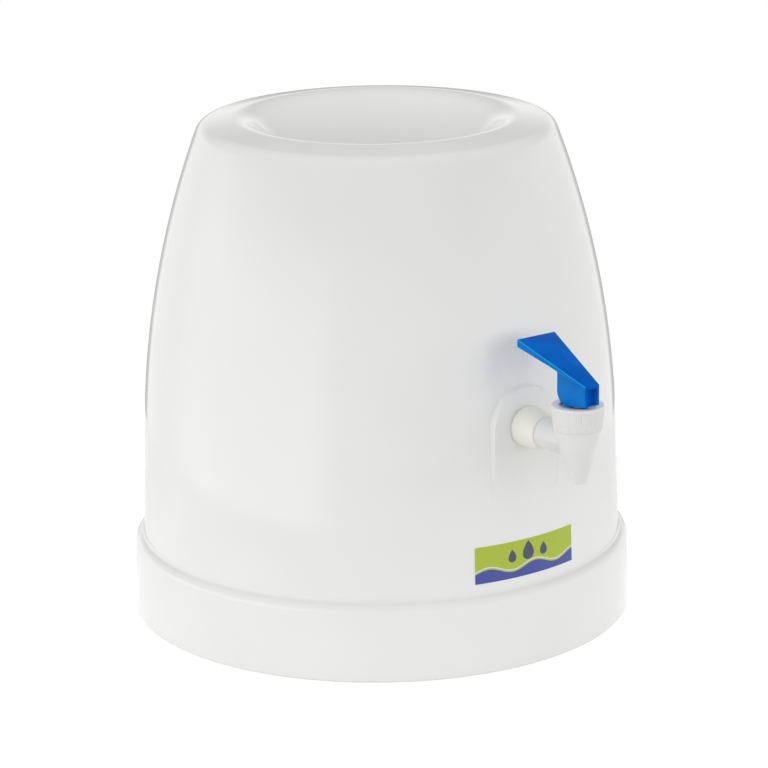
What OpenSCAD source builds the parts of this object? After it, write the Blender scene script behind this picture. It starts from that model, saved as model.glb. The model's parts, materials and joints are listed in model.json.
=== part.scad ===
// Countertop dispenser for an inverted water bottle, with a lever tap.
// Millimetres. Z is up, the floor is z = 0, the body's axis is the Z axis, the tap points to -Y.

/* [Shell] */
// outer radius of the shell at its lower edge
shell_foot_r = 138.9; // [134:0.1:144]
// draft of the straight lower wall, degrees
shell_draft = 1.75; // [1:0.05:2.5]
// height at which the wall starts to curve in
shell_curve_z = 110; // [100:1:116]
// radius of the wall's long curve, in the upright section
shell_curve_r = 535; // [500:5:600]
// wall thickness of the shell
shell_wall = 2.8; // [2.2:0.1:3.2]
// rounding between the wall and the top
shoulder_r = 8.5; // [7:0.5:10]
// fall of the top ring towards its outer edge, degrees
rim_fall = 9; // [7:0.5:11]
// overall height
body_h = 289; // [284:0.2:294]
// distance of the funnel's crest from the axis
crest_pos_r = 80; // [77:0.5:83]
// rounding of the crest
crest_r = 15; // [12:0.5:17]

/* [Funnel] */
// slope of the dish next to the crest, degrees
dish_steep = 50; // [46:1:54]
// slope of the dish next to the neck, degrees
dish_flat = 20; // [15:1:25]
// bore radius of the neck tube
neck_r = 32; // [29:0.5:34]
// rounding where the dish turns down into the neck tube
neck_lip_r = 4; // [3.5:0.1:5]
// height of the neck tube's lower end
neck_end_z = 222; // [215:1:230]

/* [Base] */
// radius of the base on the floor
base_foot_r = 145; // [144.4:0.1:148]
// height of the base up to the shell's lower edge
base_h = 44.5; // [40:0.5:48]
// rounding of the base's shoulder
base_shoulder_r = 5; // [4:0.1:5.4]
// wall thickness of the base's skirt
base_wall = 3.2; // [2.4:0.1:4]
// thickness of the deck
deck_t = 3; // [2.4:0.1:3.6]
// reach of the deck inside the tank's wall
deck_lap = 11; // [8:0.5:16]
// number of stiffening ribs under the deck
rib_count = 12; // [8:4:16]
// depth of the ribs
rib_h = 20; // [12:1:26]
// thickness of the ribs
rib_t = 2.4; // [1.8:0.1:3]

/* [Base screws] */
// distance of the screws inside the shell's foot
screw_inset = 11.9; // [11.4:0.1:13.4]
// radius of the screw's shank
screw_r = 1.9; // [1.6:0.1:2.2]
// length of the screw's shank
screw_len = 24; // [18:1:28]
// radius of the screw's head
screw_head_r = 4; // [3.4:0.1:4.4]
// height of the screw's head
screw_head_h = 2.6; // [2:0.1:3.2]
// radius of the posts that take the screws
post_r = 5; // [4.4:0.1:5.2]
// height of the shell's posts
post_h = 40; // [34:1:46]

/* [Tank] */
// clearance between the tank's rim and the shell's wall
tank_gap = 4.4; // [2.5:0.1:7]
// wall thickness of the tank
tank_wall = 2.5; // [2:0.1:3]
// height of the tank's rim
tank_top_z = 236; // [226:1:238]
// distance of the tank's floor below the tap's boss
floor_drop = 1.5; // [1:0.1:6]
// thickness of the tank's floor
tank_floor_t = 3; // [2.4:0.1:4]
// overhang of the rim's bead
bead_w = 1.5; // [1:0.1:2]
// height of the rim's bead
bead_h = 3; // [2:0.5:5]

/* [Tap pad] */
// height of the tap's shank
tap_z = 137; // [134:0.5:140]
// half width of the arched pad
pad_half_w = 22.5; // [19:0.5:23]
// rise of the pad's flat face over the wall at the shank
pad_rise = 1.5; // [1.2:0.1:2]
// height of the pad's straight face below the shank
pad_drop = 19; // [16:0.5:21]
// height over which the pad runs out into the wall
pad_fade = 23; // [20:0.5:26]

/* [Tap] */
// distance from the pad's face to the tap's upright axis
tap_reach = 44.3; // [42:0.1:46]
// radius of the shank
shank_r = 7.4; // [7:0.1:7.8]
// radius of the inlet bore
inlet_r = 4.5; // [4:0.1:5]
// radius of the barrel between the collar and the cone
barrel_r = 8.5; // [8.2:0.1:8.8]
// upper radius of the cone
cone_r = 12.9; // [12.4:0.1:13]
// radius of the nozzle's end
nozzle_r = 5.4; // [5:0.1:5.8]
// radius of the outlet bore
outlet_r = 3.4; // [3:0.1:3.6]
// height of the nozzle's end below the shank
nozzle_drop = 21.5; // [20:0.5:24]
// height of the cone's top above the shank
cone_rise = 9; // [8.6:0.1:10]
// radius of the spigot inside the bonnet
spigot_r = 11.4; // [11.2:0.1:11.6]

/* [Bonnet] */
// upper radius over the ribs
bonnet_r = 14.6; // [14.2:0.1:15]
// lower radius over the ribs
bonnet_low_r = 13.3; // [13:0.1:13.6]
// height of the bonnet
bonnet_h = 13.3; // [12.8:0.1:14]
// number of ribs
bonnet_ribs = 60; // [40:4:72]
// depth of the ribs
bonnet_rib_d = 0.35; // [0.25:0.05:0.6]
// height of the plain band above the ribs
bonnet_band = 1.6; // [1:0.1:2.4]
// radius of the recess in the top
recess_r = 10; // [9.9:0.1:10.6]
// depth of the recess
recess_d = 2; // [1.8:0.05:2.2]

/* [Valve] */
// radius of the stem
stem_r = 2.6; // [2.4:0.1:2.7]
// radius of the plug
plug_r = 6.2; // [5.6:0.1:6.4]
// radius of the spring's wire
wire_r = 0.4; // [0.3:0.05:0.45]
// radius of the spring's coil
coil_r = 4.2; // [4:0.05:4.4]
// number of turns
coil_turns = 4; // [3:0.5:4]

/* [Lever] */
// travel of the lever, degrees
lever_travel = 30; // [20:1:32]
// lift of the stem per radian of lever travel
cam_rise = 4.2; // [3.8:0.05:4.4]
// height of the pin above the heel's lowest line
pin_h = 7.2; // [6.8:0.1:7.6]
// radius of the pin
pin_r = 1.2; // [1:0.05:1.3]
// half width of the heel
heel_half_w = 5; // [4.8:0.1:5.2]
// half width of the slot in the heel
slot_half_w = 3; // [2.9:0.05:3.1]
// half width of the pocket in the heel's front face
pocket_half_w = 3.4; // [3:0.1:3.6]
// thickness of the pocket's floor
pocket_floor_t = 0.9; // [0.8:0.1:1.6]
// rise of the heel's flat towards the front, degrees
heel_tilt = 9; // [6:0.5:12]
// distance of the heel's front face before the stem
heel_front = 12; // [11:0.2:13]
// distance of the heel's rear face behind the stem
heel_rear = 10.8; // [10.6:0.1:11.6]
// distance of the free end behind the stem
lever_end = 36.2; // [33:0.2:38]
// height of the top face over the pin, at the front
lever_front_h = 6.9; // [6.5:0.1:7.5]
// slope of the top face, degrees
lever_slope = 20.2; // [17:0.2:22]
// thickness of the free end
lever_end_t = 4.3; // [3.6:0.1:5]
// thickness at the heel
lever_heel_t = 2.5; // [2.2:0.1:3]
// half width of the free end
lever_end_half_w = 13.2; // [12:0.1:14]

/* [Collar, washers and nut] */
// thickness of the outer washer
outer_washer_t = 0.8; // [0.6:0.1:1.2]
// radius of the outer washer
outer_washer_r = 10.9; // [10.4:0.1:11.4]
// length of the collar
collar_len = 15.7; // [14.7:0.1:16.7]
// radius of the collar at the pad
collar_r = 11.4; // [10.8:0.1:12]
// radius of the collar at the barrel
collar_end_r = 8.8; // [8.6:0.1:9.4]
// outer radius of the sleeve
sleeve_r = 11; // [10.4:0.1:12]
// thickness of the inner washer
inner_washer_t = 2; // [1.5:0.1:2.5]
// radius of the inner washer
inner_washer_r = 13; // [12:0.1:13.4]
// width of the nut across its corners
nut_w = 27; // [25:0.5:28]
// thickness of the nut
nut_t = 8; // [6:0.5:10]

/* [Label] */
// width of the label along the wall
label_w = 69; // [60:1:76]
// height of the label
label_h = 21; // [18:0.5:24]
// distance of the label's lower edge above the base
label_lift = 6.5; // [5:0.5:9]
// thickness of the label
label_t = 0.2; // [0.15:0.05:0.3]

/* [Hidden] */
$fn = 144;
arc_n = 16;
slack = 0.3;
hair = 0.05;
over = 1;

// shell section: centres of its arcs, tangent to each other
edge_cut = 0.8;
wall_r0 = shell_foot_r - (shell_curve_z - base_h) * tan(shell_draft);
curve_c = [wall_r0 - shell_curve_r * cos(shell_draft), shell_curve_z - shell_curve_r * sin(shell_draft)];
rim_a = 90 - rim_fall;
crest_c = [crest_pos_r, body_h - crest_r];
sh_q = crest_c + (crest_r - shoulder_r) * dir(rim_a) - curve_c;
sh_b = sh_q * dir(rim_a - 90);
sh_s = sqrt(sh_b * sh_b - sh_q * sh_q + pow(shell_curve_r - shoulder_r, 2)) - sh_b;
shoulder_c = curve_c + sh_q + sh_s * dir(rim_a - 90);
shoulder_a = atan2(shoulder_c[1] - curve_c[1], shoulder_c[0] - curve_c[0]);
dish_in = crest_c + crest_r * dir(90 + dish_steep);
dish_out_r = neck_r + neck_lip_r * (1 - sin(dish_flat));
dish_r = (dish_in[0] - dish_out_r) / (sin(dish_steep) - sin(dish_flat));
dish_c = dish_in + dish_r * dir(90 + dish_steep);
lip_c = dish_c - (dish_r + neck_lip_r) * dir(90 + dish_flat);

// tank: it fits inside the shell's wall at its rim
rim_lean = asin((tank_top_z - curve_c[1]) / shell_curve_r);
tank_r = wall_r(tank_top_z) - shell_wall / cos(rim_lean) - tank_gap - bead_w;

// base
spigot_h = 3.5;
boss_h = 4;
spigot_t = 2.4;
shell_in_foot_r = shell_foot_r - shell_wall / cos(shell_draft) - (spigot_h * tan(shell_draft));
spigot_out_r = shell_in_foot_r - slack;
deck_in_r = tank_r - deck_lap;
locator_r = tank_r - tank_wall - 2 * slack;
locator_t = 2.4;
skirt_top_r = shell_foot_r + base_shoulder_r;
web_r = shell_foot_r - shell_wall / 2 - (boss_h + post_h) * tan(shell_draft);
web_t = 4;
screw_turns = [0, 90, 180, 270];
screw_pcr = shell_foot_r - screw_inset;
pilot_r = screw_r + 0.1;
screw_hole_r = screw_r + 0.5;
pilot_len = screw_len - deck_t - boss_h + 4;

// tap line: distances from the body's axis, towards the tap
pad_y = wall_r(tap_z) + pad_rise;
pad_in_y = wall_r(tap_z) - shell_wall - 2.2;
pad_boss_r = 14;
tank_boss_y = tank_r + 2;
tank_boss_in_y = tank_r - tank_wall - 3.5;
tank_boss_r = inner_washer_r + 1;
tank_floor_z = tap_z - tank_boss_r - floor_drop;
tap_y = pad_y + tap_reach;
washer_y = pad_y + outer_washer_t;
collar_y = washer_y + collar_len;
nut_y = tank_boss_in_y - inner_washer_t;
shank_end_y = nut_y - nut_t - 5;
shank_hole_r = shank_r + slack;

// tap heights
nozzle_z = tap_z - nozzle_drop;
cone_top_z = tap_z + cone_rise;
bonnet_z = cone_top_z + slack;
bonnet_top_z = bonnet_z + bonnet_h;
roof_z = bonnet_top_z - recess_d - 2.4;
gasket_t = 1.5;
spigot_top_z = roof_z - gasket_t;
seat_z = tap_z - 3.5;
seat_r = 4.2;
chamber_r = spigot_r - 2.8;
chamber_low_r = 7.2;
chamber_low_z = tap_z + 1.5;
plug_z = seat_z + hair;
plug_top_z = plug_z + 9;
flange_z = plug_top_z + 0.8;
flange_t = 1.6;
flange_r = coil_r + 1.2;
seal_z = roof_z - 2.6;
seal_r = chamber_r - 0.2;
washer_top_z = bonnet_top_z - recess_d + 0.7;
heel_z = washer_top_z + hair;
pin_z = heel_z + pin_h;

// lever section: u runs from the stem towards the body, w up from the pin
top_wall = 1.8;
top_tan = tan(lever_slope);
lever_top_h = lever_front_h + (heel_front + lever_end) * top_tan;
cam_end = cam_point(lever_travel + 2);
heel_arc_r = (heel_rear - cam_end[0]) / (1 - sin(lever_travel + 2));
heel_arc_c = cam_end - heel_arc_r * dir(lever_travel - 88);
slot_u = stem_r + 1;
slot_w = 1.2;
pocket_u = slot_u + 1.4;
socket_r = pin_r + 0.06;
socket_x = (slot_half_w + heel_half_w) / 2 + 0.35;
pin_half_len = socket_x - 0.15;
toe_r = 0.8;
flat_end = cam_point(-heel_tilt);
toe_c = [toe_r - heel_front, heel_flat(toe_r - heel_front) + toe_r / cos(heel_tilt)];

label_turn = label_w / wall_r(base_h + label_lift) * 180 / PI;

function dir(a) = [cos(a), sin(a)];
function flip(list) = [for (i = [len(list) - 1 : -1 : 0]) list[i]];
function arc(c, r, a0, a1, n) = [for (i = [0 : n]) c + r * dir(a0 + (a1 - a0) * i / n)];

// outer radius of the shell's wall at a height
function wall_r(z) = z < shell_curve_z
    ? wall_r0 + (shell_curve_z - z) * tan(shell_draft)
    : curve_c[0] + sqrt(pow(shell_curve_r, 2) - pow(z - curve_c[1], 2));

// the shell's section line from the foot to the neck, set inwards by t
function shell_line(t) = concat(
    arc(curve_c, shell_curve_r - t, shell_draft, shoulder_a, arc_n),
    arc(shoulder_c, shoulder_r - t, shoulder_a + 4, rim_a, arc_n / 2),
    arc(crest_c, crest_r - t, rim_a, 90 + dish_steep, arc_n / 2),
    arc(dish_c, -dish_r - t, 90 + dish_steep - 3, 90 + dish_flat, arc_n / 2),
    arc(lip_c, neck_lip_r - t, 90 + dish_flat + 10, 180, arc_n / 2),
    [[neck_r + t, neck_end_z]]);

// the heel's rolling face: its distance below the pin grows evenly with the lever's turn
function cam_point(a) = (pin_h + cam_rise * a * PI / 180) * dir(a - 90) + cam_rise * dir(a);
function lever_top(u) = lever_front_h + (u + heel_front) * top_tan;
function heel_flat(u) = flat_end[1] + (flat_end[0] - u) * tan(heel_tilt);

// cylinder along the tap line, from distance y0 to y1, on the shank's axis
module bar(r, y0, y1) {
    translate([0, -y0, tap_z])
        rotate([90, 0, 0])
            cylinder(h = y1 - y0, r = r);
}

// flat ring round the shank
module shank_ring(r, y0, y1) {
    difference() {
        bar(r, y0, y1);
        bar(shank_hole_r, y0 - over, y1 + over);
    }
}

// upright ring on the tap's axis
module tap_ring(r, hole_r, z0, z1) {
    translate([0, -tap_y, z0])
        difference() {
            cylinder(h = z1 - z0, r = r);
            translate([0, 0, -over])
                cylinder(h = z1 - z0 + 2 * over, r = hole_r);
        }
}

// arched pad: an arch seen from the front, cut by its side view
module pad_arch() {
    pad_top_z = tap_z + pad_half_w + over;
    pad_low_z = tap_z - pad_drop - pad_fade;
    pad_low_r = wall_r(pad_low_z);
    pad_sag = pad_low_r - sqrt(pow(pad_low_r, 2) - pow(pad_half_w, 2));
    intersection() {
        rotate([90, 0, 0])
            linear_extrude(height = pad_y + over) {
                translate([0, tap_z])
                    circle(r = pad_half_w);
                translate([-pad_half_w, pad_low_z])
                    square([2 * pad_half_w, tap_z - pad_low_z]);
            }
        rotate([90, 0, -90])
            translate([0, 0, -pad_half_w - over])
                linear_extrude(height = 2 * (pad_half_w + over))
                    polygon([[wall_r(pad_top_z) - shell_wall / 4, pad_top_z], [pad_y, pad_top_z],
                        [pad_y, tap_z - pad_drop], [pad_low_r - pad_sag - 0.25, pad_low_z],
                        [pad_low_r - (shell_wall + pad_sag) / 2, pad_low_z]]);
    }
}

module outer_shell() {
    low = [shell_foot_r - edge_cut, base_h];
    color("white")
        difference() {
            union() {
                rotate_extrude()
                    polygon(concat([low, [shell_foot_r - edge_cut * tan(shell_draft), base_h + edge_cut]],
                        shell_line(0), flip(shell_line(shell_wall)),
                        [[shell_foot_r - shell_wall / cos(shell_draft), base_h]]));
                pad_arch();
                bar(pad_boss_r, pad_in_y, pad_in_y + 3.4);
                for (a = screw_turns)
                    rotate([0, 0, a])
                        screw_post();
            }
            bar(shank_hole_r, pad_in_y - over, pad_y + over);
        }
}

// post inside the wall, joined to it by a web, with a pilot hole from below
module screw_post() {
    difference() {
        union() {
            translate([screw_pcr, 0, base_h + boss_h])
                cylinder(h = post_h, r = post_r);
            translate([screw_pcr, -web_t / 2, base_h + boss_h])
                cube([web_r - screw_pcr, web_t, post_h - 2]);
        }
        translate([screw_pcr, 0, base_h + boss_h - over])
            cylinder(h = pilot_len + over, r = pilot_r);
    }
}

module base_ring() {
    color("white")
        difference() {
            union() {
                rotate_extrude()
                    polygon(concat([[base_foot_r - base_wall, 0], [base_foot_r - edge_cut, 0],
                        [base_foot_r - edge_cut * 0.1, edge_cut]],
                        arc([shell_foot_r, base_h - base_shoulder_r], base_shoulder_r, 0, 90, arc_n / 2),
                        [[spigot_out_r, base_h], [spigot_out_r, base_h + spigot_h],
                        [spigot_out_r - spigot_t, base_h + spigot_h], [spigot_out_r - spigot_t, base_h],
                        [locator_r, base_h], [locator_r, base_h + boss_h],
                        [locator_r - locator_t, base_h + boss_h], [locator_r - locator_t, base_h],
                        [deck_in_r, base_h], [deck_in_r, base_h - deck_t],
                        [skirt_top_r - base_wall, base_h - deck_t]]));
                for (i = [0 : rib_count - 1])
                    rotate([0, 0, (i + 0.5) * 360 / rib_count])
                        translate([deck_in_r + 2, -rib_t / 2, base_h - deck_t - rib_h])
                            cube([skirt_top_r - base_wall / 2 - deck_in_r - 2, rib_t, rib_h + deck_t / 2]);
                for (a = screw_turns)
                    rotate([0, 0, a])
                        translate([screw_pcr, 0, base_h - deck_t / 2])
                            cylinder(h = boss_h + deck_t / 2, r = post_r);
            }
            for (a = screw_turns)
                rotate([0, 0, a])
                    translate([screw_pcr, 0, base_h - deck_t - over])
                        cylinder(h = deck_t + boss_h + 2 * over, r = screw_hole_r);
        }
}

module water_tank() {
    in_r = tank_r - tank_wall;
    color("whitesmoke")
        difference() {
            union() {
                rotate_extrude()
                    polygon([[in_r, base_h], [tank_r, base_h], [tank_r, tank_top_z - bead_h],
                        [tank_r + bead_w, tank_top_z - bead_h], [tank_r + bead_w, tank_top_z],
                        [in_r, tank_top_z], [in_r, tank_floor_z], [0, tank_floor_z],
                        [0, tank_floor_z - tank_floor_t], [in_r, tank_floor_z - tank_floor_t]]);
                bar(tank_boss_r, tank_boss_in_y, tank_boss_y);
            }
            bar(shank_hole_r, tank_boss_in_y - over, tank_boss_y + over);
        }
}

module base_screws() {
    color("silver")
        for (a = screw_turns)
            rotate([0, 0, a])
                translate([screw_pcr, 0, base_h - deck_t]) {
                    cylinder(h = screw_len, r = screw_r);
                    translate([0, 0, -screw_head_h])
                        cylinder(h = screw_head_h, r1 = screw_head_r - 0.8, r2 = screw_head_r);
                }
}

module front_label() {
    z0 = base_h + label_lift;
    z1 = z0 + label_h;
    color("yellowgreen")
        rotate([0, 0, -90 - label_turn / 2])
            rotate_extrude(angle = label_turn)
                polygon([[wall_r(z0) + hair, z0], [wall_r(z0) + hair + label_t, z0],
                    [wall_r(z1) + hair + label_t, z1], [wall_r(z1) + hair, z1]]);
}

module tap_body() {
    color("white")
        difference() {
            union() {
                translate([0, -tap_y, nozzle_z])
                    cylinder(h = cone_top_z - nozzle_z, r1 = nozzle_r, r2 = cone_r);
                translate([0, -tap_y, cone_top_z - over])
                    cylinder(h = spigot_top_z - cone_top_z + over, r = spigot_r);
                bar(barrel_r, collar_y, tap_y);
                bar(shank_r, shank_end_y, collar_y + over);
            }
            bar(inlet_r, shank_end_y - over, tap_y - plug_r - slack);
            translate([0, -tap_y, chamber_low_z])
                cylinder(h = spigot_top_z - chamber_low_z + over, r = chamber_r);
            translate([0, -tap_y, seat_z])
                cylinder(h = chamber_low_z - seat_z, r1 = chamber_low_r, r2 = chamber_r);
            translate([0, -tap_y, seat_z - 3])
                cylinder(h = 3 + over, r = seat_r);
            translate([0, -tap_y, nozzle_z - over])
                cylinder(h = seat_z - nozzle_z, r = outlet_r);
        }
}

// tapered cap: grooves between the ribs stop at a cone inside the outer one
module tap_bonnet() {
    groove_w = PI * bonnet_low_r / bonnet_ribs;
    color("white")
        translate([0, -tap_y, bonnet_z])
            difference() {
                cylinder(h = bonnet_h, r1 = bonnet_low_r, r2 = bonnet_r);
                difference() {
                    translate([0, 0, -over])
                        linear_extrude(height = bonnet_h - bonnet_band + over)
                            for (i = [0 : bonnet_ribs - 1])
                                rotate(i * 360 / bonnet_ribs)
                                    translate([spigot_r, -groove_w / 2])
                                        square([bonnet_r, groove_w]);
                    translate([0, 0, -2 * over])
                        cylinder(h = bonnet_h + 2 * over, r1 = bonnet_low_r - bonnet_rib_d,
                            r2 = bonnet_r - bonnet_rib_d);
                }
                translate([0, 0, bonnet_h - recess_d])
                    cylinder(h = recess_d + over, r = recess_r);
                translate([0, 0, -over])
                    cylinder(h = bonnet_h, r = stem_r + 0.4);
                translate([0, 0, -over])
                    cylinder(h = roof_z - bonnet_z + over, r = spigot_r + slack);
            }
}

module bonnet_gasket() {
    color("gainsboro")
        tap_ring(spigot_r - 0.1, chamber_r + 0.2, spigot_top_z, roof_z);
}

module stem_seal() {
    color("gainsboro")
        tap_ring(seal_r, stem_r + hair, seal_z, roof_z - hair);
}

// silicone plug with a socket for the stem's button
module valve_plug() {
    color("lightgray")
        translate([0, -tap_y, 0])
            rotate_extrude()
                polygon([[0, plug_z - 1.5], [seat_r - 1.7, plug_z - 1.5], [seat_r - 0.4, plug_z],
                    [plug_r, plug_z], [plug_r, plug_top_z - 2], [plug_r - 1.4, plug_top_z],
                    [stem_r + hair, plug_top_z], [stem_r + hair, plug_z + 4.2],
                    [stem_r + 1.2, plug_z + 4.2], [stem_r + 1.2, plug_z + 2.4], [0, plug_z + 2.4]]);
}

module valve_stem() {
    button_z = plug_z + 2.4 + hair;
    color("white")
        translate([0, -tap_y, 0])
            difference() {
                union() {
                    translate([0, 0, button_z])
                        cylinder(h = pin_z - button_z, r = stem_r);
                    translate([0, 0, button_z])
                        cylinder(h = 1.7, r = stem_r + 1.1);
                    translate([0, 0, flange_z])
                        cylinder(h = flange_t, r = flange_r);
                    translate([0, 0, pin_z])
                        sphere(r = stem_r);
                }
                translate([-stem_r - over, 0, pin_z])
                    rotate([0, 90, 0])
                        cylinder(h = 2 * (stem_r + over), r = pin_r + 0.03);
            }
}

// coil of round wire, points ring by ring along the turns
module valve_spring() {
    side = 8;
    steps = 16 * coil_turns;
    z0 = flange_z + flange_t + wire_r + hair;
    z1 = seal_z - wire_r - hair;
    points = [for (i = [0 : steps], j = [0 : side - 1])
        let (t = i * 360 / 16, q = j * 360 / side)
        [(coil_r + wire_r * cos(q)) * cos(t), (coil_r + wire_r * cos(q)) * sin(t),
            z0 + (z1 - z0) * i / steps + wire_r * sin(q)]];
    skin = [for (i = [0 : steps - 1], j = [0 : side - 1])
        let (k = (j + 1) % side)
        [i * side + j, (i + 1) * side + j, (i + 1) * side + k, i * side + k]];
    caps = [[for (j = [0 : side - 1]) j], [for (j = [side - 1 : -1 : 0]) steps * side + j]];
    color("silver")
        translate([0, -tap_y, 0])
            polyhedron(points = points, faces = concat(skin, caps));
}

module cam_washer() {
    color("silver")
        tap_ring(recess_r - slack, stem_r + 0.5, bonnet_top_z - recess_d, washer_top_z);
}

// side view of the heel: toe, flat, rolling face, rear
module heel_side() {
    polygon(concat(
        arc(toe_c, toe_r, 180, 270 - heel_tilt, 6),
        [for (a = [-heel_tilt : 1 : lever_travel + 2]) cam_point(a)],
        arc(heel_arc_c, heel_arc_r, lever_travel - 88 + 6, 0, 8),
        [[heel_rear, lever_top(heel_rear) - lever_heel_t / 2],
        [-heel_front, lever_front_h - lever_heel_t / 2]]));
}

// side view of the paddle
module paddle_side() {
    polygon([[-heel_front, lever_front_h], [-heel_front, lever_front_h - lever_heel_t],
        [heel_rear, lever_top(heel_rear) - lever_heel_t], [lever_end, lever_top_h - lever_end_t],
        [lever_end, lever_top_h]]);
}

// side view of the slot that clears the stem through the lever's travel
module slot_side() {
    low = pin_h + 6;
    polygon([[-slot_u, -low], [slot_u + (slot_w + low) * tan(lever_travel + 4), -low], [slot_u, slot_w],
        [slot_u, lever_top(slot_u) - top_wall], [-slot_u, lever_top(-slot_u) - top_wall]]);
}

// side view of the blind pocket in the heel's front face, over a floor that follows the heel's flat
module pocket_side() {
    far = heel_front + over;
    polygon([[-far, heel_flat(-far) + pocket_floor_t], [-pocket_u, heel_flat(-pocket_u) + pocket_floor_t],
        [-pocket_u, lever_top(-pocket_u) - top_wall], [-far, lever_top(-far) - top_wall]]);
}

// a side view drawn in u and w, given its thickness across the lever
module across(half_w) {
    rotate([90, 0, 90])
        translate([0, 0, -half_w])
            linear_extrude(height = 2 * half_w)
                children();
}

module tap_lever() {
    color("royalblue")
        translate([0, -tap_y, pin_z])
            difference() {
                union() {
                    intersection() {
                        across(lever_end_half_w + over)
                            paddle_side();
                        translate([0, 0, -pin_h])
                            linear_extrude(height = lever_top_h + 2 * pin_h)
                                polygon([[-heel_half_w, -heel_front], [heel_half_w, -heel_front],
                                    [lever_end_half_w, lever_end], [-lever_end_half_w, lever_end]]);
                    }
                    across(heel_half_w)
                        heel_side();
                }
                across(slot_half_w)
                    slot_side();
                across(pocket_half_w)
                    pocket_side();
                translate([-socket_x, 0, 0])
                    rotate([0, 90, 0])
                        cylinder(h = 2 * socket_x, r = socket_r);
            }
}

module lever_pin() {
    color("silver")
        translate([-pin_half_len, -tap_y, pin_z])
            rotate([0, 90, 0])
                cylinder(h = 2 * pin_half_len, r = pin_r);
}

module tap_collar() {
    color("linen")
        translate([0, 0, tap_z])
            rotate([90, 0, 0])
                rotate_extrude()
                    polygon(concat([[shank_hole_r, washer_y]],
                        [for (a = [0 : 90 / arc_n : 90])
                            [collar_end_r + (collar_r - collar_end_r) * cos(a), washer_y + collar_len * sin(a)]],
                        [[shank_hole_r, collar_y]]));
}

module outer_washer() {
    color("white")
        shank_ring(outer_washer_r, pad_y, washer_y);
}

module shank_sleeve() {
    color("white")
        shank_ring(sleeve_r, tank_boss_y, pad_in_y);
}

module inner_washer() {
    color("gainsboro")
        shank_ring(inner_washer_r, nut_y, tank_boss_in_y);
}

module lock_nut() {
    color("white")
        difference() {
            translate([0, -nut_y, tap_z])
                rotate([-90, 0, 0])
                    cylinder(h = nut_t, r = nut_w / 2, $fn = 6);
            bar(shank_r + 0.1, nut_y - nut_t - over, nut_y + over);
        }
}

outer_shell();
base_ring();
water_tank();
base_screws();
front_label();
tap_body();
tap_bonnet();
bonnet_gasket();
stem_seal();
valve_plug();
valve_stem();
valve_spring();
cam_washer();
tap_lever();
lever_pin();
tap_collar();
outer_washer();
shank_sleeve();
inner_washer();
lock_nut();
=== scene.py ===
"""Looks of a countertop water dispenser: glossy white shell and base, lever tap, printed label.

Outlines are written in millimetres, as (radius, height) pairs unless a comment says otherwise.
The meshes are made in metres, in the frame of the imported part: Z up, the tap towards -Y.
"""

import json
import math

import bmesh
import bpy
import numpy as np
from mathutils import Matrix, Vector


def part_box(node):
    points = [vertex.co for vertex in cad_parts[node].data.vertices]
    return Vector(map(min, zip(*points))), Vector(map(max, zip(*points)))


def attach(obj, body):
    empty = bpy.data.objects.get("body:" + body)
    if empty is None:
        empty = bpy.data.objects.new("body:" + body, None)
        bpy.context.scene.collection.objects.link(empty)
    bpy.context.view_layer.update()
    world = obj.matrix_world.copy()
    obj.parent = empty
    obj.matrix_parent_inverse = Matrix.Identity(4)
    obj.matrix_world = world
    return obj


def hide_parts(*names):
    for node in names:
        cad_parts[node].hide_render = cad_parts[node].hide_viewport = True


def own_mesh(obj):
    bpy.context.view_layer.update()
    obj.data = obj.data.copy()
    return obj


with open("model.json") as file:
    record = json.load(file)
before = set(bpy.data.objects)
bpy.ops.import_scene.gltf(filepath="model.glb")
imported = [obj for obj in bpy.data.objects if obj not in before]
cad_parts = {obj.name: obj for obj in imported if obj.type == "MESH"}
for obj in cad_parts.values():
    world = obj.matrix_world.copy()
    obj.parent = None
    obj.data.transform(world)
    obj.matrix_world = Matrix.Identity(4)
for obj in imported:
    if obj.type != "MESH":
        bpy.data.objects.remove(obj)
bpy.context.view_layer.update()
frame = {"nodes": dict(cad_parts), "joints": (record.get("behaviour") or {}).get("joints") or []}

MM = 0.001
TURN = 2 * math.pi


def joint(name):
    """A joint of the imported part."""
    return next(j for j in frame["joints"] if j["name"] == name)


def joint_place(name):
    """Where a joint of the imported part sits, in millimetres."""
    return [value / MM for value in joint(name)["pos_m"]]


def node_box(name):
    """Lowest and highest corner of a CAD node, in millimetres."""
    return [[value / MM for value in corner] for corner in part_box(name)]


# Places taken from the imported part
TAP_Y = -joint_place("lever_press")[1]
PIN_Z = joint_place("lever_press")[2]
BASE_H = node_box("outer_shell")[0][2]
BODY_H = node_box("outer_shell")[1][2]
COLLAR_LOW, COLLAR_HIGH = node_box("tap_collar")
TAP_Z = (COLLAR_LOW[2] + COLLAR_HIGH[2]) / 2
COLLAR_START, COLLAR_END = -COLLAR_HIGH[1], -COLLAR_LOW[1]
PAD_Y = -node_box("outer_washer")[1][1]
BONNET_Z, BONNET_TOP = node_box("tap_bonnet")[0][2], node_box("tap_bonnet")[1][2]
BODY_LOW, BODY_HIGH = node_box("tap_body")
NOZZLE_Z, SPIGOT_TOP = BODY_LOW[2], BODY_HIGH[2]
SHANK_END = -BODY_HIGH[1]
LABEL_Z, LABEL_TOP = node_box("front_label")[0][2], node_box("front_label")[1][2]
SPRING_Z, SPRING_TOP = node_box("valve_spring")[0][2], node_box("valve_spring")[1][2]

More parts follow.
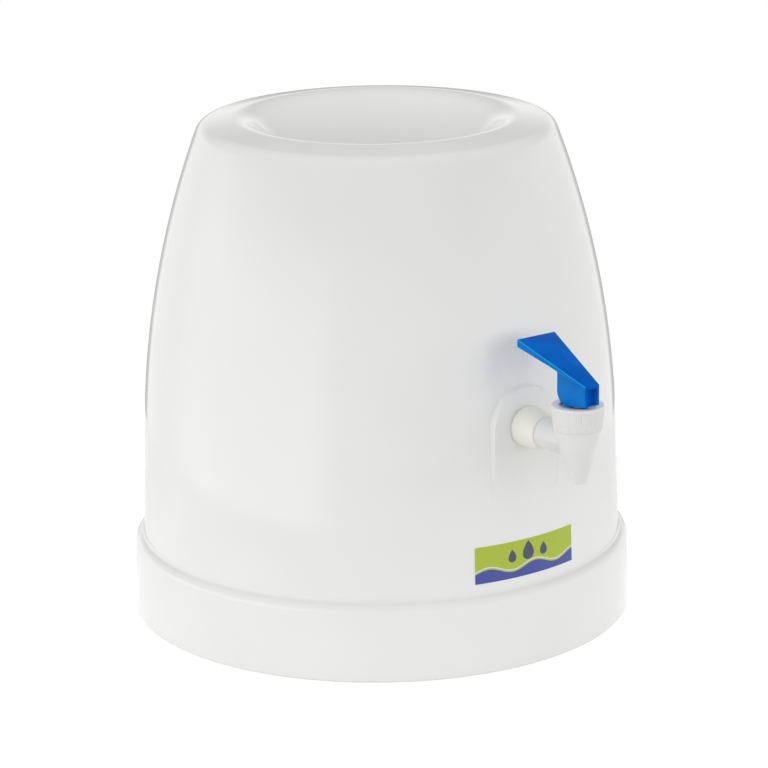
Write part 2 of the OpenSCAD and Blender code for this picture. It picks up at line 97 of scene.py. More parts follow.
# Shell
SHELL_FOOT_R, SHELL_DRAFT, SHELL_WALL = 138.9, 1.75, 2.8
SHELL_CURVE_Z, SHELL_CURVE_R = 110.0, 535.0
SHOULDER_R, RIM_FALL = 8.5, 9.0
CREST_POS_R, CREST_R = 80.0, 15.0
DISH_STEEP, DISH_FLAT = 50.0, 20.0
NECK_R, NECK_LIP_R, NECK_END_Z = 32.0, 4.0, 222.0
SCREW_PCR, POST_R, POST_H, PILOT_R, PILOT_LEN = 127.0, 5.0, 40.0, 2.0, 21.0
POST_FOOT_Z = BASE_H + 4.0
SHANK_HOLE_R, SHANK_HOLE_FROM, SHANK_HOLE_TO = 7.7, 120.0, 140.0

# Arched pad behind the tap
PAD_HALF_W, PAD_DROP, PAD_FADE, PAD_RUN_IN = 22.5, 19.0, 23.0, 9.0
PAD_EDGE_IN, PAD_EDGE_OUT, PAD_BLEND = 0.55, 0.3, 0.4

# Base
BASE_FOOT_R, BASE_SHOULDER_R, BASE_WALL, DECK_T, DECK_IN_R = 145.0, 5.0, 3.2, 3.0, 98.1
SPIGOT_OUT_R, SPIGOT_T, SPIGOT_H = 135.7, 2.4, 3.5
LIP_FILLET, LIP_GAP = 2.2, 0.04
LOCATOR_R, LOCATOR_T, LOCATOR_H = 105.9, 2.4, 4.0
RIB_COUNT, RIB_H, RIB_T, SCREW_HOLE_R = 12, 20.0, 2.4, 2.4

# Tap
SHANK_R, INLET_R, BARREL_R = 7.4, 4.5, 8.5
CONE_R, CONE_TOP, NOZZLE_R, OUTLET_R = 13.0, BONNET_Z - 0.12, 5.4, 3.4
CHAMBER_R, CHAMBER_LOW_R, CHAMBER_LOW_Z, SEAT_R, SEAT_Z = 8.6, 7.2, TAP_Z + 1.5, 4.2, TAP_Z - 3.5
SPIGOT_R, ROOF_Z = 11.4, SPIGOT_TOP + 1.5
BONNET_R, BONNET_LOW_R, BONNET_RIBS, BONNET_RIB_D, BONNET_BAND = 14.6, 13.3, 60, 0.22, 1.6
RECESS_R, RECESS_D, STEM_HOLE_R = 10.0, 2.0, 3.0
COLLAR_R, COLLAR_END_R = 11.4, 8.8
WASHER_R = 11.2
WIRE_R, COIL_R, COIL_TURNS = 0.4, 4.2, 4

# Lever, in its side view: u runs from the stem towards the body, w up from the pin
LEVER_TRAVEL, CAM_RISE, PIN_H = 30.0, 4.2, 7.2
HEEL_HALF_W, SLOT_HALF_W, HEEL_TILT, HEEL_FRONT, HEEL_REAR, TOE_R = 5.0, 3.0, 9.0, 12.0, 11.9, 0.8
LEVER_END, LEVER_FRONT_H, LEVER_SLOPE = 36.2, 6.9, 20.2
LEVER_END_T, LEVER_HEEL_T, LEVER_END_HALF_W, LEVER_TOP_WALL = 4.3, 2.5, 13.2, 1.8
SLOT_U, SLOT_W, SOCKET_R, SOCKET_X = 3.6, 1.2, 1.26, 4.35
POCKET_U, POCKET_HALF_W, POCKET_FLOOR_T = SLOT_U + 4.9, 3.4, 0.9
LEVER_EDGE = 0.4

# Painted highlights along the lever's edges and painted light on its sides: width of full strength,
# where they end, and their strengths
HIGHLIGHT_FULL, HIGHLIGHT_END, HIGHLIGHT_UPPER, HIGHLIGHT_LOWER, SIDE_PAINTED_LIGHT = 0.15, 0.5, 0.75, 0.45, 0.15

# Label
LABEL_W, LABEL_GAP, LABEL_T = 69.0, 0.05, 0.2

# Viewpoint of the picture
VIEW_TURN, VIEW_RISE, VIEW_ROLL = 36.0, 16.246, 0.7257
VIEW_DISTANCE, VIEW_TARGET_Z, VIEW_LENS, VIEW_SHIFT = 2006.6, 129.53, 161.9, 0.0057

# Studio: the room's light below the horizon, at the walls and overhead, then the room in gloss
ROOM_LIGHT, ROOM_EDGE = (0.334, 1.36, 0.63), (0.36, 0.64)
GLOSS_WALLS, GLOSS_CEILING, GLOSS_EDGE, GLOSS_GAP, GLOSS_PANEL = 1.08, 0.27, (0.1, 0.4), 0.4, 1.0
FLOOR_R, FLOOR_GLOW, FLOOR_GLOSS, FLOOR_SHEEN = 0.45, 0.83, 0.74, 0.18
LEFT_POWER, RIGHT_POWER = 2.3, 0.95

# Sides of round pieces, and angles in degrees above which an edge is a crease or gets rounded
BASE_SIDES, TAP_SIDES, BORE_SIDES, SMALL_SIDES, PILOT_SIDES, FLOOR_SIDES = 180, 96, 64, 32, 24, 128
CREASE, ROUNDING = 40, 30


# Outlines

def polar(centre, radius, degrees):
    angle = math.radians(degrees)
    return (centre[0] + radius * math.cos(angle), centre[1] + radius * math.sin(angle))


def arc(centre, radius, start, end, steps):
    """Points on a circle from one angle to another, in degrees."""
    return [polar(centre, radius, start + (end - start) * i / steps) for i in range(steps + 1)]


def straight(start, end, steps):
    """Evenly spaced points on a line, without its two ends."""
    start, end = np.array(start), np.array(end)
    return [tuple(start + (end - start) * i / steps) for i in range(1, steps)]


def rounded(corners, steps=5):
    """Closed outline through corners (x, y, rounding)."""
    points = []
    for i, (x, y, size) in enumerate(corners):
        here = Vector((x, y))
        if size == 0:
            points.append((x, y))
            continue
        back = (Vector(corners[i - 1][:2]) - here).normalized()
        ahead = (Vector(corners[(i + 1) % len(corners)][:2]) - here).normalized()
        half = back.angle(ahead) / 2
        centre = here + (back + ahead).normalized() * size / math.sin(half)
        first = here + back * size / math.tan(half) - centre
        last = here + ahead * size / math.tan(half) - centre
        start = math.degrees(math.atan2(first.y, first.x))
        sweep = math.degrees(math.atan2(last.y, last.x)) - start
        sweep = (sweep + 180) % 360 - 180
        points += arc(centre, size, start, start + sweep, steps)
    return points


# Meshes

def new_piece(name, points, faces):
    """Object with a smooth-shaded closed mesh from points in millimetres."""
    mesh = bpy.data.meshes.new(name)
    mesh.from_pydata((np.asarray(points, float) * MM).tolist(), [], faces)
    edit = bmesh.new()
    edit.from_mesh(mesh)
    bmesh.ops.recalc_face_normals(edit, faces=edit.faces)
    edit.to_mesh(mesh)
    edit.free()
    piece = bpy.data.objects.new(name, mesh)
    bpy.context.scene.collection.objects.link(piece)
    return shade(piece)


def shade(piece):
    """Smooth shading, with creases where the faces meet at a large angle."""
    piece.data.shade_smooth()
    piece.data.set_sharp_from_angle(angle=math.radians(CREASE))
    return piece


def ring_faces(columns, rows, closed):
    """Quads of a grid whose columns close round; its rows close too if asked, or end in caps."""
    faces = []
    for i in range(columns):
        j = (i + 1) % columns
        for k in range(rows if closed else rows - 1):
            m = (k + 1) % rows
            faces.append((i * rows + k, j * rows + k, j * rows + m, i * rows + m))
    if not closed:
        faces.append([i * rows for i in range(columns)])
        faces.append([i * rows + rows - 1 for i in range(columns)])
    return faces


def tube_faces(columns, rows):
    """Quads of a grid whose rows close round, with a cap on its first and on its last column."""
    last = (columns - 1) * rows
    faces = ring_faces(columns, rows, True)[:-rows]
    return faces + [list(range(rows)), list(range(last, last + rows))]


def turned(outline, angles, ribs=None):
    """Points of an outline turned about the Z axis; ribs is a depth by angle and outline point."""
    outline, angles = np.array(outline, float), np.asarray(angles, float)
    radius = np.repeat(outline[None, :, 0], len(angles), 0)
    if ribs is not None:
        radius = radius - ribs
    height = np.repeat(outline[None, :, 1], len(angles), 0)
    points = [radius * np.cos(angles)[:, None], radius * np.sin(angles)[:, None], height]
    return np.stack(points, -1).reshape(-1, 3)


def even_turn(count):
    return np.arange(count) * TURN / count


def lathe(name, outline, count, closed=True):
    """Solid of revolution about the Z axis."""
    points = turned(outline, even_turn(count))
    return new_piece(name, points, ring_faces(count, len(outline), closed))


def plank(name, outline, half_width):
    """Prism across the lever: an outline in (u, w), with its half width at each u."""
    side = [(half_width(u), -TAP_Y + u, PIN_Z + w) for u, w in outline]
    points = side + [(-x, y, z) for x, y, z in side]
    count = len(outline)
    faces = [(i, (i + 1) % count, count + (i + 1) % count, count + i) for i in range(count)]
    return new_piece(name, points, faces + [list(range(count)), list(range(count, 2 * count))])


def box(name, low, high):
    xs, ys, zs = zip(low, high)
    points = [(x, y, z) for x in xs for y in ys for z in zs]
    faces = [(0, 1, 3, 2), (4, 6, 7, 5), (0, 4, 5, 1), (2, 3, 7, 6), (0, 2, 6, 4), (1, 5, 7, 3)]
    return new_piece(name, points, faces)


def placed(piece, matrix):
    """Moves the piece's mesh; the object stays at the origin."""
    piece.data.transform(matrix)
    return piece


def on_tap_axis(piece):
    return placed(piece, Matrix.Translation((0, -TAP_Y * MM, 0)))


def on_shank_axis(piece):
    """Lays a piece turned about Z along the shank: its heights become distances towards the tap."""
    lie = Matrix.Rotation(math.pi / 2, 4, "X")
    return placed(piece, Matrix.Translation((0, 0, TAP_Z * MM)) @ lie)


def rod(name, radius, start, end, count):
    """Round rod on the Z axis."""
    return lathe(name, [(radius, start), (radius, end)], count, closed=False)


def shank_rod(name, radius, start, end):
    """Round rod on the shank's axis."""
    return on_shank_axis(rod(name, radius, start, end, BORE_SIDES))


def made_real(piece):
    """Applies the piece's modifiers to its mesh."""
    bpy.context.view_layer.update()
    graph = bpy.context.evaluated_depsgraph_get()
    mesh = bpy.data.meshes.new_from_object(piece.evaluated_get(graph))
    piece.modifiers.clear()
    old = piece.data
    piece.data = mesh
    bpy.data.meshes.remove(old)
    mesh.name = piece.name
    return shade(piece)


def combine(piece, other, operation):
    """Joins another piece to this one, or cuts it away, and removes the other."""
    step = piece.modifiers.new("combine", "BOOLEAN")
    step.operation, step.solver, step.object = operation, "EXACT", other
    made_real(piece)
    bpy.data.objects.remove(other)
    return piece


def joined(pieces):
    """One mesh from several pieces that don't touch."""
    first = pieces[0]
    edit = bmesh.new()
    for piece in pieces:
        edit.from_mesh(piece.data)
    edit.to_mesh(first.data)
    edit.free()
    for piece in pieces[1:]:
        bpy.data.objects.remove(piece)
    return first


def softened(piece, width):
    """Rounds the piece's edges."""
    step = piece.modifiers.new("soften", "BEVEL")
    step.width, step.segments = width * MM, 3
    step.limit_method, step.angle_limit = "ANGLE", math.radians(ROUNDING)
    return made_real(piece)


# Shell

def curve_centre():
    foot = SHELL_FOOT_R - (SHELL_CURVE_Z - BASE_H) * math.tan(math.radians(SHELL_DRAFT))
    x, z = polar((0, 0), SHELL_CURVE_R, SHELL_DRAFT)
    return (foot - x, SHELL_CURVE_Z - z)


CURVE_C = curve_centre()


def wall_r(z):
    """Outer radius of the shell's wall at a height."""
    z = np.asarray(z, float)
    foot = SHELL_FOOT_R - (z - BASE_H) * math.tan(math.radians(SHELL_DRAFT))
    curve = CURVE_C[0] + np.sqrt(np.maximum(SHELL_CURVE_R ** 2 - (z - CURVE_C[1]) ** 2, 0))
    return np.where(z < SHELL_CURVE_Z, foot, curve)


def shell_line(inset, fine):
    """The shell's section from the end of its wall to the end of the neck tube, set inwards."""
    rim_a = 90 - RIM_FALL
    crest_c = (CREST_POS_R, BODY_H - CREST_R)
    along = Vector(polar((0, 0), 1, rim_a - 90))
    start = Vector(polar(crest_c, CREST_R - SHOULDER_R, rim_a)) - Vector(CURVE_C)
    part = start.dot(along)
    reach = math.sqrt(part ** 2 - start.length_squared + (SHELL_CURVE_R - SHOULDER_R) ** 2) - part
    to_shoulder = start + along * reach
    shoulder_c = Vector(CURVE_C) + to_shoulder
    shoulder_a = math.degrees(math.atan2(to_shoulder.y, to_shoulder.x))
    dish_in = polar(crest_c, CREST_R, 90 + DISH_STEEP)
    dish_out_r = NECK_R + NECK_LIP_R * (1 - math.sin(math.radians(DISH_FLAT)))
    span = math.sin(math.radians(DISH_STEEP)) - math.sin(math.radians(DISH_FLAT))
    dish_r = (dish_in[0] - dish_out_r) / span
    dish_c = polar(dish_in, dish_r, 90 + DISH_STEEP)
    lip_c = polar(dish_c, -dish_r - NECK_LIP_R, 90 + DISH_FLAT)
    return (
        arc(shoulder_c, SHOULDER_R - inset, shoulder_a, rim_a, 2 * fine)
        + arc(crest_c, CREST_R - inset, rim_a, 90 + DISH_STEEP, 3 * fine)
        + arc(dish_c, -dish_r - inset, 90 + DISH_STEEP, 90 + DISH_FLAT, 2 * fine)[1:]
        + arc(lip_c, NECK_LIP_R - inset, 90 + DISH_FLAT, 180, 2 * fine)[1:]
    )


def wall_points(heights, inset):
    return [(float(wall_r(z)) - inset, z) for z in heights]


def shell_outline():
    """Closed section of the shell, with close rows where the pad stands out."""
    top = shell_line(0, 6)
    inner_top = shell_line(SHELL_WALL, 3)
    pad_low, pad_high = TAP_Z - PAD_DROP - PAD_FADE - 2, TAP_Z + PAD_HALF_W + 3
    heights = np.concatenate([
        np.linspace(BASE_H + 1.0, pad_low, 8)[:-1],
        np.linspace(pad_low, TAP_Z, 30)[:-1],
        np.linspace(TAP_Z, pad_high, 90),
        np.linspace(pad_high, top[0][1], 26)[1:-1],
    ])
    foot = [(SHELL_FOOT_R - SHELL_WALL, BASE_H), (SHELL_FOOT_R - 0.2, BASE_H),
            (SHELL_FOOT_R, BASE_H + 0.2)]
    end = [(NECK_R, NECK_END_Z + 0.6), (NECK_R + 0.6, NECK_END_Z),
           (NECK_R + SHELL_WALL - 0.6, NECK_END_Z), (NECK_R + SHELL_WALL, NECK_END_Z + 0.6)]
    tube = straight(top[-1], end[0], 4)
    inner_heights = np.linspace(inner_top[0][1], BASE_H + 1, 14)[1:]
    return (foot + wall_points(heights, 0) + top + tube + end + inner_top[::-1]
            + wall_points(inner_heights, SHELL_WALL))


def smooth_step(edge0, edge1, x):
    t = np.clip((x - edge0) / (edge1 - edge0), 0, 1)
    return t * t * (3 - 2 * t)


def pad_bulge(points):
    """Pushes the wall out to the arched pad's face, with soft edges and a run-out at its foot."""
    x, y, z = points.T
    wall_y = np.sqrt(np.maximum(wall_r(z) ** 2 - x ** 2, 0))
    low_z = TAP_Z - PAD_DROP - PAD_FADE
    low_y = float(wall_r(low_z))
    fade = np.clip((TAP_Z - PAD_DROP - z) / PAD_FADE, 0, 1)
    face_y = PAD_Y + (low_y - 1.0 - PAD_Y) * fade
    rise = face_y - wall_y
    rise = (rise + np.sqrt(rise ** 2 + PAD_BLEND ** 2)) / 2
    rise = rise * smooth_step(low_z, low_z + PAD_RUN_IN, z)
    beside = np.where(z > TAP_Z, np.hypot(x, z - TAP_Z), np.abs(x)) - PAD_HALF_W
    mask = 1 - smooth_step(-PAD_EDGE_IN, PAD_EDGE_OUT, beside)
    on_wall = (y < 0) & (np.abs(np.hypot(x, y) - wall_r(z)) < 0.02) & (z > BASE_H + 2)
    points[:, 1] -= np.where(on_wall, rise * mask, 0)
    return points


def screw_post(turn):
    """Post for a base screw inside the shell's wall, with the web that carries it."""
    top = POST_FOOT_Z + POST_H
    at_screw = Matrix.Translation((SCREW_PCR * MM, 0, 0))
    post = placed(rod("post", POST_R, POST_FOOT_Z, top, SMALL_SIDES), at_screw)
    web_r = SHELL_FOOT_R - SHELL_WALL / 2 - (top - BASE_H) * math.tan(math.radians(SHELL_DRAFT))
    web = box("web", (SCREW_PCR, -2, POST_FOOT_Z), (web_r, 2, top - 2))
    combine(post, web, "UNION")
    pilot = rod("pilot", PILOT_R, POST_FOOT_Z - 1, POST_FOOT_Z + PILOT_LEN, PILOT_SIDES)
    combine(post, placed(pilot, at_screw), "DIFFERENCE")
    return placed(post, Matrix.Rotation(turn, 4, "Z"))


def outer_shell():
    """The shell with its screw posts and shank hole; its faces are narrower round the pad."""
    near = math.radians(11.5)
    dense = np.linspace(-near, near, 200)
    sparse = np.linspace(near, TURN - near, 130)[1:-1]
    angles = np.concatenate([dense, sparse]) - math.pi / 2
    outline = shell_outline()
    points = pad_bulge(turned(outline, angles))
    shell = new_piece("shell_moulding", points, ring_faces(len(angles), len(outline), True))
    combine(shell, joined([screw_post(i * TURN / 4) for i in range(4)]), "UNION")
    hole = shank_rod("shank_hole", SHANK_HOLE_R, SHANK_HOLE_FROM, SHANK_HOLE_TO)
    return combine(shell, hole, "DIFFERENCE")


# Base

def base_rib(i):
    top_r, deck = SHELL_FOOT_R + BASE_SHOULDER_R, BASE_H - DECK_T
    low = (DECK_IN_R + 2, -RIB_T / 2, deck - RIB_H)
    high = (top_r - BASE_WALL / 2, RIB_T / 2, deck + DECK_T / 2)
    return placed(box("rib", low, high), Matrix.Rotation((i + 0.5) * TURN / RIB_COUNT, 4, "Z"))


def round_at_screws(name, radius, low, high):
    """Four upright rounds at the base screws."""
    rounds = []
    for i in range(4):
        place = Matrix.Rotation(i * TURN / 4, 4, "Z") @ Matrix.Translation((SCREW_PCR * MM, 0, 0))
        rounds.append(placed(rod(name, radius, low, high, SMALL_SIDES), place))
    return joined(rounds)


def base_shoulder():
    """The base's rounded shoulder, and the hollow fillet from it up to the shell's wall."""
    lip_r = SHELL_FOOT_R + LIP_GAP
    round_c = Vector((SHELL_FOOT_R, BASE_H - BASE_SHOULDER_R))
    across = lip_r + LIP_FILLET - round_c.x
    up = math.sqrt((BASE_SHOULDER_R + LIP_FILLET) ** 2 - across ** 2)
    meet = math.degrees(math.atan2(up, across))
    skirt_lean = 1.4
    return (arc(round_c, BASE_SHOULDER_R, skirt_lean, meet, 12)
            + arc(round_c + Vector((across, up)), LIP_FILLET, meet + 180, 180, 12)[1:]
            + [(lip_r - LIP_GAP / 2, round_c.y + up), (lip_r - LIP_GAP / 2, BASE_H)])


def base_ring():
    top_r, deck = SHELL_FOOT_R + BASE_SHOULDER_R, BASE_H - DECK_T
    skirt = rounded([(BASE_FOOT_R - BASE_WALL, 0, 0.8), (BASE_FOOT_R, 0, 1.2)] + [
        (r, z, 0) for r, z in base_shoulder()] + [
        (SPIGOT_OUT_R, BASE_H, 0.3), (SPIGOT_OUT_R, BASE_H + SPIGOT_H, 0.6),
        (SPIGOT_OUT_R - SPIGOT_T, BASE_H + SPIGOT_H, 0.6), (SPIGOT_OUT_R - SPIGOT_T, BASE_H, 0.3),
        (LOCATOR_R, BASE_H, 0.3), (LOCATOR_R, BASE_H + LOCATOR_H, 0.6),
        (LOCATOR_R - LOCATOR_T, BASE_H + LOCATOR_H, 0.6), (LOCATOR_R - LOCATOR_T, BASE_H, 0.3),
        (DECK_IN_R, BASE_H, 0.8), (DECK_IN_R, deck, 0.8), (top_r - BASE_WALL, deck, 1.5),
    ], steps=8)
    base = lathe("base_moulding", skirt, BASE_SIDES)
    combine(base, joined([base_rib(i) for i in range(RIB_COUNT)]), "UNION")
    combine(base, round_at_screws("boss", POST_R, BASE_H - DECK_T / 2, POST_FOOT_Z), "UNION")
    holes = round_at_screws("hole", SCREW_HOLE_R, deck - 1, POST_FOOT_Z + 1)
    return combine(base, holes, "DIFFERENCE")


# Tap

def barrel_rings():
    return [(SHANK_R - 0.6, SHANK_END), (SHANK_R, SHANK_END + 0.6), (SHANK_R, COLLAR_END),
            (BARREL_R - 0.5, COLLAR_END), (BARREL_R, COLLAR_END + 0.5), (BARREL_R, TAP_Y - 2)]


def tap_body():
    outside = rounded([
        (0.01, NOZZLE_Z, 0), (NOZZLE_R, NOZZLE_Z, 0.9), (CONE_R, CONE_TOP, 0.15),
        (SPIGOT_R, CONE_TOP, 0.2), (SPIGOT_R, SPIGOT_TOP, 0.4), (0.01, SPIGOT_TOP, 0),
    ])
    body = on_tap_axis(lathe("tap_moulding", outside, TAP_SIDES, closed=False))
    combine(body, on_shank_axis(lathe("barrel", barrel_rings(), TAP_SIDES, closed=False)), "UNION")
    bore = [
        (OUTLET_R + 0.5, NOZZLE_Z - 0.5), (OUTLET_R, NOZZLE_Z + 0.3), (OUTLET_R, SEAT_Z - 3),
        (SEAT_R, SEAT_Z - 3), (SEAT_R, SEAT_Z), (CHAMBER_LOW_R, SEAT_Z),
        (CHAMBER_R, CHAMBER_LOW_Z), (CHAMBER_R, SPIGOT_TOP + 1),
    ]
    combine(body, on_tap_axis(lathe("bore", bore, BORE_SIDES, closed=False)), "DIFFERENCE")
    return combine(body, shank_rod("inlet", INLET_R, SHANK_END - 1, TAP_Y - 6.5), "DIFFERENCE")


def tap_bonnet():
    outline = rounded([
        (SPIGOT_R + 0.3, BONNET_Z, 0.2), (BONNET_LOW_R, BONNET_Z, 0.15),
        (BONNET_R, BONNET_TOP, 0.8), (RECESS_R, BONNET_TOP, 0.4),
        (RECESS_R, BONNET_TOP - RECESS_D, 0.3),
        (STEM_HOLE_R, BONNET_TOP - RECESS_D, 0.2), (STEM_HOLE_R, ROOF_Z, 0.2),
        (SPIGOT_R + 0.3, ROOF_Z, 0.3),
    ])
    rib_top = BONNET_TOP - BONNET_BAND
    start = max(i for i, (r, z) in enumerate(outline)
                if z < BONNET_Z + 1 and r > BONNET_LOW_R - 0.5)
    grow = BONNET_R - BONNET_LOW_R
    levels = [BONNET_Z + 0.5 + (rib_top + 0.4 - BONNET_Z - 0.5) * i / 24 for i in range(25)]
    side = [(BONNET_LOW_R + grow * (z - BONNET_Z) / (BONNET_TOP - BONNET_Z), z) for z in levels]
    outline = outline[:start + 1] + side + outline[start + 1:]
    angles = even_turn(BONNET_RIBS * 10)
    r, z = np.array(outline).T
    ribbed = (r > BONNET_LOW_R - 0.4) * (1 - smooth_step(rib_top - 0.6, rib_top, z)) * (z < rib_top)
    groove = smooth_step(-0.3, 0.5, np.cos(angles * BONNET_RIBS))
    points = turned(outline, angles, BONNET_RIB_D * groove[:, None] * ribbed[None, :])
    return on_tap_axis(new_piece("bonnet_cap", points, ring_faces(len(angles), len(outline), True)))


def tap_collar():
    length, width = COLLAR_END - COLLAR_START, COLLAR_R - COLLAR_END_R
    dome = [(COLLAR_END_R + width * math.cos(a), COLLAR_START + length * math.sin(a))
            for a in np.linspace(0.08, math.pi / 2, 28)]
    foot = [(COLLAR_R - 0.3, COLLAR_START), (COLLAR_R - 0.1, COLLAR_START + 0.1),
            (COLLAR_R - 0.02, COLLAR_START + 0.3)]
    outline = [(SHANK_HOLE_R, COLLAR_START)] + foot + dome + [(SHANK_HOLE_R, COLLAR_END)]
    return on_shank_axis(lathe("collar_spacer", outline, TAP_SIDES))


def pad_washer():
    outline = rounded([
        (SHANK_HOLE_R, PAD_Y, 0.2), (WASHER_R, PAD_Y, 0.2), (WASHER_R, COLLAR_START, 0.2),
        (SHANK_HOLE_R, COLLAR_START, 0.2),
    ])
    return on_shank_axis(lathe("pad_washer", outline, TAP_SIDES))


def valve_coil():
    """Coil of round wire, ring by ring along its turns."""
    steps, sides = 40 * COIL_TURNS, 10
    low, high = SPRING_Z + WIRE_R, SPRING_TOP - WIRE_R
    points = []
    for i in range(steps + 1):
        turn = TURN * COIL_TURNS * i / steps
        for j in range(sides):
            r, h = polar((COIL_R, low + (high - low) * i / steps), WIRE_R, 360 * j / sides)
            points.append((r * math.cos(turn), r * math.sin(turn), h))
    return on_tap_axis(new_piece("valve_coil", points, tube_faces(steps + 1, sides)))


# Lever

def cam_point(degrees):
    """The heel's rolling face: its distance below the pin grows evenly with the lever's turn."""
    below = polar((0, 0), PIN_H + CAM_RISE * math.radians(degrees), degrees - 90)
    return polar(below, CAM_RISE, degrees)


def lever_top(u):
    return LEVER_FRONT_H + (u + HEEL_FRONT) * math.tan(math.radians(LEVER_SLOPE))


def lever_half_width(u):
    length = LEVER_END + HEEL_FRONT
    return HEEL_HALF_W + (LEVER_END_HALF_W - HEEL_HALF_W) * (u + HEEL_FRONT) / length


def heel_flat(u):
    """Height of the heel's flat resting face."""
    flat_end = cam_point(-HEEL_TILT)
    return flat_end[1] + (flat_end[0] - u) * math.tan(math.radians(HEEL_TILT))


def heel_outline():
    """The heel from its toe along the rolling face, round its rear and up into the paddle."""
    cam_turn = LEVER_TRAVEL + 2
    cam_end = cam_point(cam_turn)
    toe_w = heel_flat(TOE_R - HEEL_FRONT) + TOE_R / math.cos(math.radians(HEEL_TILT))
    toe = arc((TOE_R - HEEL_FRONT, toe_w), TOE_R, 180, 270 - HEEL_TILT, 8)
    cam = [cam_point(a) for a in np.linspace(-HEEL_TILT, cam_turn, 24)]
    rear_r = (HEEL_REAR - cam_end[0]) / (1 - math.sin(math.radians(cam_turn)))
    rear_c = polar(cam_end, -rear_r, cam_turn - 90)
    rear = arc(rear_c, rear_r, cam_turn - 86, 0, 12)
    top = [(HEEL_REAR, lever_top(HEEL_REAR) - LEVER_HEEL_T / 2),
           (-HEEL_FRONT, LEVER_FRONT_H - LEVER_HEEL_T / 2)]
    return toe + cam + rear + top


def slot_outline():
    low = PIN_H + 6
    lean = math.tan(math.radians(LEVER_TRAVEL + 4))
    roof = [(u, lever_top(u) - LEVER_TOP_WALL) for u in (SLOT_U, -SLOT_U)]
    return [(-SLOT_U, -low), (SLOT_U + (SLOT_W + low) * lean, -low), (SLOT_U, SLOT_W)] + roof


def pocket_outline():
    """Blind pocket in the heel's front face."""
    far = HEEL_FRONT + 1
    floor = [(-u, heel_flat(-u) + POCKET_FLOOR_T) for u in (far, POCKET_U)]
    return floor + [(-u, lever_top(-u) - LEVER_TOP_WALL) for u in (POCKET_U, far)]


def tap_lever():
    paddle = plank("lever_moulding", [
        (-HEEL_FRONT, LEVER_FRONT_H), (-HEEL_FRONT, LEVER_FRONT_H - LEVER_HEEL_T),
        (HEEL_REAR, lever_top(HEEL_REAR) - LEVER_HEEL_T),
        (LEVER_END, lever_top(LEVER_END) - LEVER_END_T), (LEVER_END, lever_top(LEVER_END)),
    ], lever_half_width)
    heel = plank("heel", heel_outline(), lambda u: HEEL_HALF_W)
    softened(paddle, LEVER_EDGE)
    softened(heel, LEVER_EDGE)
    combine(paddle, heel, "UNION")
    combine(paddle, plank("slot", slot_outline(), lambda u: SLOT_HALF_W), "DIFFERENCE")
    combine(paddle, plank("pocket", pocket_outline(), lambda u: POCKET_HALF_W), "DIFFERENCE")
    socket = rod("socket", SOCKET_R, -SOCKET_X, SOCKET_X, SMALL_SIDES)
    across = Matrix.Translation((0, -TAP_Y * MM, PIN_Z * MM)) @ Matrix.Rotation(math.pi / 2, 4, "Y")
    return combine(paddle, placed(socket, across), "DIFFERENCE")


# Label

def front_label():
    """Thin sheet bent round the wall below the tap."""
    turn = LABEL_W / float(wall_r(LABEL_Z))
    angles = np.linspace(-turn / 2, turn / 2, 49) - math.pi / 2
    heights = np.linspace(LABEL_Z, LABEL_TOP, 13)
    front = [(float(wall_r(z)) + LABEL_GAP + LABEL_T, z) for z in heights]
    back = [(float(wall_r(z)) + LABEL_GAP, z) for z in heights[::-1]]
    outline = front + back
    return new_piece("label_sheet", turned(outline, angles), tube_faces(len(angles), len(outline)))


# Node helpers

def feed(tree, socket, value):
    """Links a socket to another one, or sets its number."""
    if isinstance(value, bpy.types.NodeSocket):
        tree.links.new(value, socket)
    else:
        socket.default_value = value


def coordinates(tree, kind="Object"):
    return tree.nodes.new("ShaderNodeTexCoord").outputs[kind]


def split(tree, vector):
    """The X, Y and Z of a vector."""
    node = tree.nodes.new("ShaderNodeSeparateXYZ")
    tree.links.new(vector, node.inputs[0])
    return node.outputs


def socket_names(tree, inputs, outputs):
    """Float sockets of a shader node group: inputs as (name, value) pairs, outputs as names."""
    for name, value in inputs:
        socket = tree.interface.new_socket(name, in_out="INPUT", socket_type="NodeSocketFloat")
        socket.default_value = value
    for name in outputs:
        tree.interface.new_socket(name, in_out="OUTPUT", socket_type="NodeSocketFloat")
    return tree.nodes.new("NodeGroupInput"), tree.nodes.new("NodeGroupOutput")


def math_node(tree, operation, a, b=None, c=None):
    """A Math node; each operand is a socket or a number."""
    node = tree.nodes.new("ShaderNodeMath")
    node.operation = operation
    for socket, value in zip(node.inputs, (a, b, c)):
        if value is not None:
            feed(tree, socket, value)
    return node.outputs[0]


def map_range(tree, value, low, high, to_low, to_high):
    """Smooth step from one level to another."""
    node = tree.nodes.new("ShaderNodeMapRange")
    node.interpolation_type = "SMOOTHSTEP"
    tree.links.new(value, node.inputs["Value"])
    limits = (("From Min", low), ("From Max", high), ("To Min", to_low), ("To Max", to_high))
    for name, number in limits:
        node.inputs[name].default_value = number
    return node.outputs["Result"]


def noise(tree, place, scale, detail=2.0):
    node = tree.nodes.new("ShaderNodeTexNoise")
    for name, value in (("Vector", place), ("Scale", scale), ("Detail", detail)):
        feed(tree, node.inputs[name], value)
    return node.outputs["Fac"]


def stretched(tree, place, scale, turn=0.0):
    """Coordinates scaled unevenly, for streaks."""
    node = tree.nodes.new("ShaderNodeMapping")
    node.inputs["Scale"].default_value = scale
    node.inputs["Rotation"].default_value = (0, 0, turn)
    tree.links.new(place, node.inputs["Vector"])
    return node.outputs["Vector"]


def mixed(tree, mask, first, second):
    """Colour mix; each colour is a socket or three numbers."""
    node = tree.nodes.new("ShaderNodeMix")
    node.data_type = "RGBA"
    tree.links.new(mask, node.inputs["Factor"])
    for socket, value in ((node.inputs["A"], first), (node.inputs["B"], second)):
        feed(tree, socket, (*value, 1) if isinstance(value, tuple) else value)
    return node.outputs["Result"]


